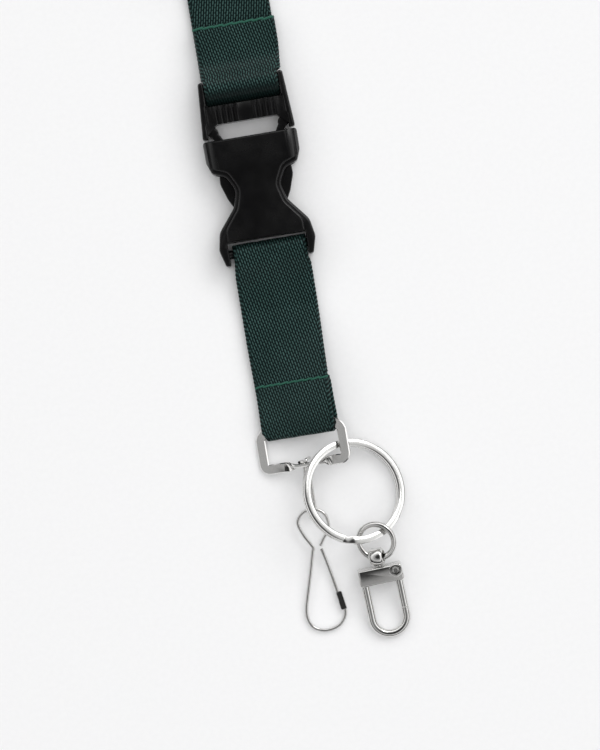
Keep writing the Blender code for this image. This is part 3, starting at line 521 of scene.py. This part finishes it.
def neck_route():
    """The middle line of the two layers: from the sewn end over the bar, under it and away into the hank."""
    corners = [(TAIL_Y, 3.12), (50.0, 3.08), (48.0, 3.06), (46.0, 3.06), (44.2, 3.10), (42.7, 3.32)]
    corners += [(41.3, 3.86), (39.9, 4.66)]
    for degrees in range(62, 271, 16):
        a = math.radians(degrees)
        corners.append((BAR_Y - WRAP_SHIFT + WRAP_Y * math.cos(a), BAR_Z + WRAP_Z * math.sin(a)))
    corners += [(40.0, 1.1), (43.5, 1.1), (48.0, 1.08), (53.0, 1.1), (58.0, 1.12), (63.0, 1.15), (66.0, 1.3)]
    turn = HANK_PITCH / 2
    low = HANK_LIFT + turn
    near, far = HANK_START + HANK_PITCH, HANK_START + HANK_LENGTH - HANK_PITCH
    entry = near + turn
    corners += [(entry + (far - entry) * k / 4, low) for k in range(4)]
    for fold in range(HANK_FOLDS):
        level = low + HANK_PITCH * fold
        start, end, way = (far, near, 1) if fold % 2 == 0 else (near, far, -1)
        for degrees in range(-90, 91, 36):
            a = math.radians(degrees)
            corners.append((start + way * turn * math.cos(a), level + turn + turn * math.sin(a)))
        corners += [(start + (end - start) * k / 4, level + HANK_PITCH) for k in (1, 2, 3)]
    corners.append((near + 0.2, low + HANK_FOLDS * HANK_PITCH))
    return smooth_path(corners, 16)


def build_neck(look):
    """Both layers in one strap: away along the one next to the bar, round the loop's end and back."""
    middle = respaced(neck_route(), finer_before(66, 0.22, 1.2))
    out = normals_2d(middle)
    heading = np.array([out[-1][1], -out[-1][0]])
    loop_end = []
    for degrees in (60, 20, -20, -60):
        a = math.radians(degrees)
        aside, ahead = out[-1] * LAYER_OFFSET * math.sin(a), heading * LAYER_OFFSET * math.cos(a)
        loop_end.append(middle[-1] + aside + ahead)
    path = np.vstack([middle + out * LAYER_OFFSET, loop_end, (middle - out * LAYER_OFFSET)[::-1]])
    path = respaced(path, finer_before(60, 0.26, 2.0))

    def in_tail(y, h):
        return h > TAIL_LOW and y < TAIL_REACH

    def edges(y, h):
        # The sewn end lies a little to the right of the strap under it, and both narrow in the frame's eye.
        left, right = (-9.62, 10.08) if in_tail(y, h) else (-9.85, 9.6)
        right -= 0.5 * (1 - ramp(y, 39.0, 8.0))
        in_eye = 1 - ramp(y, 39.0, 0.9)
        return left + (-9.4 - left) * in_eye, right + (8.5 - right) * in_eye

    def place(x, y, h):
        pulled = dent(y, NECK_SEAM_Y, 0.16, 0.55) if in_tail(y, h) else 0.0
        return spot(x + NECK_X, y, h - pulled)

    strap, length = ribbon("neck_webbing", path, edges, place, look)
    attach(strap, "neck_end")
    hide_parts("neck_strap")


# ---------------------------------------------------------------- the short strap

BRACKET_X, BRACKET_Y, BRACKET_Z = 0.35, -50.6, 3.95
BRACKET_BAR_Y = BRACKET_Y + 4.5  # the top bar, which the strap goes round
ROLL = math.radians(17)
WEB_Y = -2.7  # the female body's bar
LOWER_SEAM_Y = -35.2
LOWER_THREAD = 0.9  # where the seam's stitches rise from, over the strap's middle
LOWER_HEIGHTS = [  # of the strap's middle, by y
    (-48.4, BRACKET_Z), (-44.0, BRACKET_Z), (-41.0, BRACKET_Z), (-36.0, 3.58), (-30.0, 2.87), (-24.0, 2.0),
    (-17.0, 1.2), (-11.0, 1.9), (-6.0, 2.85), (WEB_Y, 3.0), (2.0, 3.0),
]


def lower_place(x, y, offset):
    """A point of the short strap, which lies level at the buckle and rolls to the bracket's tilt."""
    ys, zs = zip(*LOWER_HEIGHTS)
    angle = ROLL * ramp(y, -14, -27)
    height = float(np.interp(y, ys, zs))
    return spot(
        BRACKET_X + x * math.cos(angle) - offset * math.sin(angle),
        y,
        height + x * math.sin(angle) + offset * math.cos(angle),
    )


def build_lower(look):
    """One strap doubled round two bars: its ends nearly meet in the under layer, by the seam."""
    end = BRACKET_BAR_Y - 1.83
    corners = [
        (-34.9, -0.52), (-37.5, -0.60), (-41.0, -0.82), (-44.6, -1.08), (-46.4, -1.10),
        (BRACKET_BAR_Y - 1.25, -1.06), (end + 0.08, -0.62), (end, 0.0), (end + 0.08, 0.62),
        (BRACKET_BAR_Y - 1.25, 1.06), (-46.4, 1.12), (-44.6, 1.10), (-41.0, 0.84), (-37.5, 0.62),
        (-34.0, 0.53),
    ]
    to_buckle = [(-28.0, 0.51), (-22.0, 0.51), (-16.0, 0.53), (-11.0, 0.62), (-8.2, 0.88), (-5.6, 1.32)]
    corners += to_buckle
    wrap = 1.76
    for degrees in range(108, -109, -24):
        a = math.radians(degrees)
        corners.append((WEB_Y + wrap * math.cos(a), wrap * math.sin(a)))
    corners += [(y, -offset) for y, offset in reversed(to_buckle)]
    corners.append((-34.1, -0.52))
    path = respaced(smooth_path(corners), lambda p: 0.26)

    def edges(y, offset):
        # Each layer has its own edges, drawn in a little round the two bars.
        bend = ramp(y, -46.2, -1.6)
        if offset >= 0:
            near_buckle = ramp(y, -9.0, 5.0)
            left = -9.3 + 0.8 * bend + 0.45 * near_buckle
            right = 9.15 - 0.4 * bend - 0.05 * near_buckle + 0.15 * ramp(y, -30, 20)
        else:
            left = -8.9 + 0.4 * ramp(y, -38.0, -4.0)
            right = 9.0 + 0.45 * ramp(y, -33.0, -4.0) - 0.7 * bend
        right -= 0.34 * ramp(y, -7.5, 1.6) + 0.12 * ramp(y, -46.6, -0.8)
        return left, right

    def place(x, y, offset):
        pulled = dent(y, LOWER_SEAM_Y, 0.12, 0.5) if offset > 0 else 0.0
        return lower_place(x, y, offset - pulled)

    strap, length = ribbon("lower_webbing_woven", path, edges, place, look)
    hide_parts("lower_webbing")
    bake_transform(strap)


# ---------------------------------------------------------------- seams

# A stitch's lift above the cloth, at shares of its length.
STITCH = [(0.0, -0.24), (0.06, 0.02), (0.2, 0.17), (0.5, 0.22), (0.8, 0.17), (0.94, 0.02), (1.0, -0.24)]


def stitches(left, right, y, count, surface, slant):
    """Routes of a lockstitch seam: each stitch lies on the surface and dips into the cloth at both ends."""
    overlap, unevenness, seed = 0.10, 0.05, 11
    routes = []
    pitch = (right - left) / count
    random = np.random.default_rng(seed)
    for k in range(count):
        a, b = left + pitch * k - overlap, left + pitch * (k + 1) + overlap
        drift = random.normal(0, unevenness, 3)
        route = []
        for share, lift in STITCH:
            x = a + (b - a) * share
            dy = slant * (share - 0.5) * 2 + drift[0] * (1 - share) + drift[1] * share
            route.append(surface(x, y + dy, lift + 0.3 * drift[2] * math.sin(math.pi * share)))
        routes.append(route)
    return routes


def build_seams(look):
    def on_neck(x, y, lift):
        return (x + NECK_X, y, NECK_THREAD_Z + lift)

    neck = plies("neck_seam", stitches(-9.7, 9.75, NECK_SEAM_Y, 8, on_neck, 0.17), 0.27, look)
    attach(neck, "neck_end")
    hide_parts("neck_stitch")

    def on_lower(x, y, lift):
        p = lower_place(x, y, LOWER_THREAD + lift) / MM
        return (p.x, p.y + WAIST_Y, p.z)

    lower = plies("lower_seam", stitches(-9.0, 9.1, LOWER_SEAM_Y, 9, on_lower, 0.14), 0.23, look)
    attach(lower, "female_end")
    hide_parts("lower_stitch")


# ---------------------------------------------------------------- carried-over pieces


def finish_nodes(names, material, angle, edge=0.0):
    """Gives CAD pieces their own material, smooth up to the angle, their sharp edges eased by edge."""
    for name in names:
        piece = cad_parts[name]
        for slot in piece.material_slots:
            slot.material = material
        weld = piece.modifiers.new("weld", "WELD")
        weld.merge_threshold = 0.002 * MM
        if edge:
            bevel = piece.modifiers.new("edges", "BEVEL")
            bevel.width = edge * MM
            bevel.segments = 2
            bevel.limit_method = "ANGLE"
            bevel.angle_limit = math.radians(38)
            bevel.use_clamp_overlap = True
            bevel.harden_normals = False
        shade = piece.modifiers.new("smooth", "NODES")
        shade.node_group = smooth_by_angle(angle)


def smooth_by_angle(angle):
    """A node group that smooths a mesh except across edges sharper than the angle."""
    name = f"smooth_{angle:g}"
    if name in bpy.data.node_groups:
        return bpy.data.node_groups[name]
    group = bpy.data.node_groups.new(name, "GeometryNodeTree")
    group.interface.new_socket("Geometry", in_out="INPUT", socket_type="NodeSocketGeometry")
    group.interface.new_socket("Geometry", in_out="OUTPUT", socket_type="NodeSocketGeometry")
    enter = group.nodes.new("NodeGroupInput")
    leave = group.nodes.new("NodeGroupOutput")
    faces = group.nodes.new("GeometryNodeSetShadeSmooth")
    edges = group.nodes.new("GeometryNodeSetShadeSmooth")
    edges.domain = "EDGE"
    corner = group.nodes.new("GeometryNodeInputMeshEdgeAngle")
    compare = group.nodes.new("FunctionNodeCompare")
    compare.operation = "LESS_THAN"
    compare.inputs[1].default_value = math.radians(angle)
    group.links.new(corner.outputs["Unsigned Angle"], compare.inputs[0])
    group.links.new(enter.outputs[0], faces.inputs["Geometry"])
    group.links.new(faces.outputs[0], edges.inputs["Geometry"])
    group.links.new(compare.outputs[0], edges.inputs["Shade Smooth"])
    group.links.new(edges.outputs[0], leave.inputs[0])
    return group


# ---------------------------------------------------------------- floor, light and camera

LIGHT_TARGET = Vector((0.0, -0.045, 0.0))


def build_floor(material):
    """A square floor, so large that its edges stay out of sight."""
    size, steps = 6.0, 8
    centre = (cad_low + cad_high) / 2
    points = [
        (centre.x + size * (i / steps - 0.5), centre.y + size * (j / steps - 0.5), 0.0)
        for j in range(steps + 1) for i in range(steps + 1)
    ]
    row = steps + 1
    faces = [
        (j * row + i, j * row + i + 1, (j + 1) * row + i + 1, (j + 1) * row + i)
        for j in range(steps) for i in range(steps)
    ]
    mesh_object("floor", points, faces, material)


def area_light(name, place, size, power):
    data = bpy.data.lights.new(name, "AREA")
    data.energy = power
    data.size = size
    made = new_object(name, data)
    made.location = place
    made.rotation_euler = (LIGHT_TARGET - Vector(place)).to_track_quat("-Z", "Y").to_euler()
    return made


def build_lights():
    area_light("key", (1.15, 1.05, 1.6), size=0.9, power=7.2)
    top = area_light("top", (0.05, -0.02, 1.2), size=1.1, power=7.0)
    top.visible_glossy = False


def build_world():
    """A plain studio: its walls are brightest part of the way up, and on the key light's side."""
    world = bpy.data.worlds.new("studio")
    bpy.context.scene.world = world
    n = Nodes(world, "Background")
    direction = n.coordinates("Generated")
    upward = n.split(direction)[2]
    walls = n.greys(upward, [
        (0.0, 0.04), (0.34, 0.04), (0.43, 1.15), (0.64, 1.05),
        (0.74, 0.55), (0.84, 0.52), (0.92, 0.05), (1.0, 0.03),
    ])
    to_key = n.dot(direction, (0.55, 0.83, 0.0))
    side = n.span(to_key, -0.9, 0.9, 0.40, 1.5, "LINEAR")
    n.finish(Color=walls, Strength=n.times(side, 1.12))


def build_camera():
    """Looks straight down from 0.9 m with a long lens, turned so that the strap leans in the picture."""
    data = bpy.data.cameras.new("camera")
    data.lens = 180.0
    data.sensor_width = 36.0
    data.clip_start, data.clip_end = 0.05, 10.0
    made = new_object("camera", data)
    made.location = (0.00248, -0.04587, 0.904)
    made.rotation_euler = (0.0, 0.0, math.radians(-9.5))
    bpy.context.scene.camera = made
    bpy.context.scene.view_settings.view_transform = "Standard"


def build():
    # Both webbings paint shade at the strap's turn round a bar: the first a little, the second, on the neck
    # strap, a lot.
    green = webbing("green_webbing_weave", 0.85)
    turn_shaded_webbing = webbing("green_webbing_painted_turn_shade", 0.15)
    emerald = thread("green_thread_spun")
    black = plastic("black_acetal")
    wire = nickel("nickel_wire", 0.085, 2600.0, 0.004)
    flat = nickel("nickel_stamped", 0.13, 1800.0, 0.006, brush=(1.0, 0.18, 1.0))
    cast = nickel("nickel_cast", 0.15, 1500.0, 0.006, tint=(0.77, 0.765, 0.75))
    finish_nodes(["male_frame", "female_body"], black, 30, edge=0.07)
    finish_nodes(["prong_right", "prong_left"], black, 35)
    finish_nodes(["bracket"], flat, 40)
    finish_nodes(["split_ring", "gate_pin", "swivel_rivet"], flat, 50)
    finish_nodes(["swivel_link", "hook_wire", "hook_gate", "jump_ring"], wire, 50)
    finish_nodes(["clasp_bail", "clasp_gate", "gate_spring"], wire, 50)
    finish_nodes(["clasp_head", "clasp_eye"], cast, 38, edge=0.05)
    finish_nodes(["strap_tie"], rubber("soft_band"), 35)
    build_neck(turn_shaded_webbing)
    build_lower(green)
    build_seams(emerald)
    build_floor(paper("floor_card"))
    build_lights()
    build_world()
    build_camera()


build()
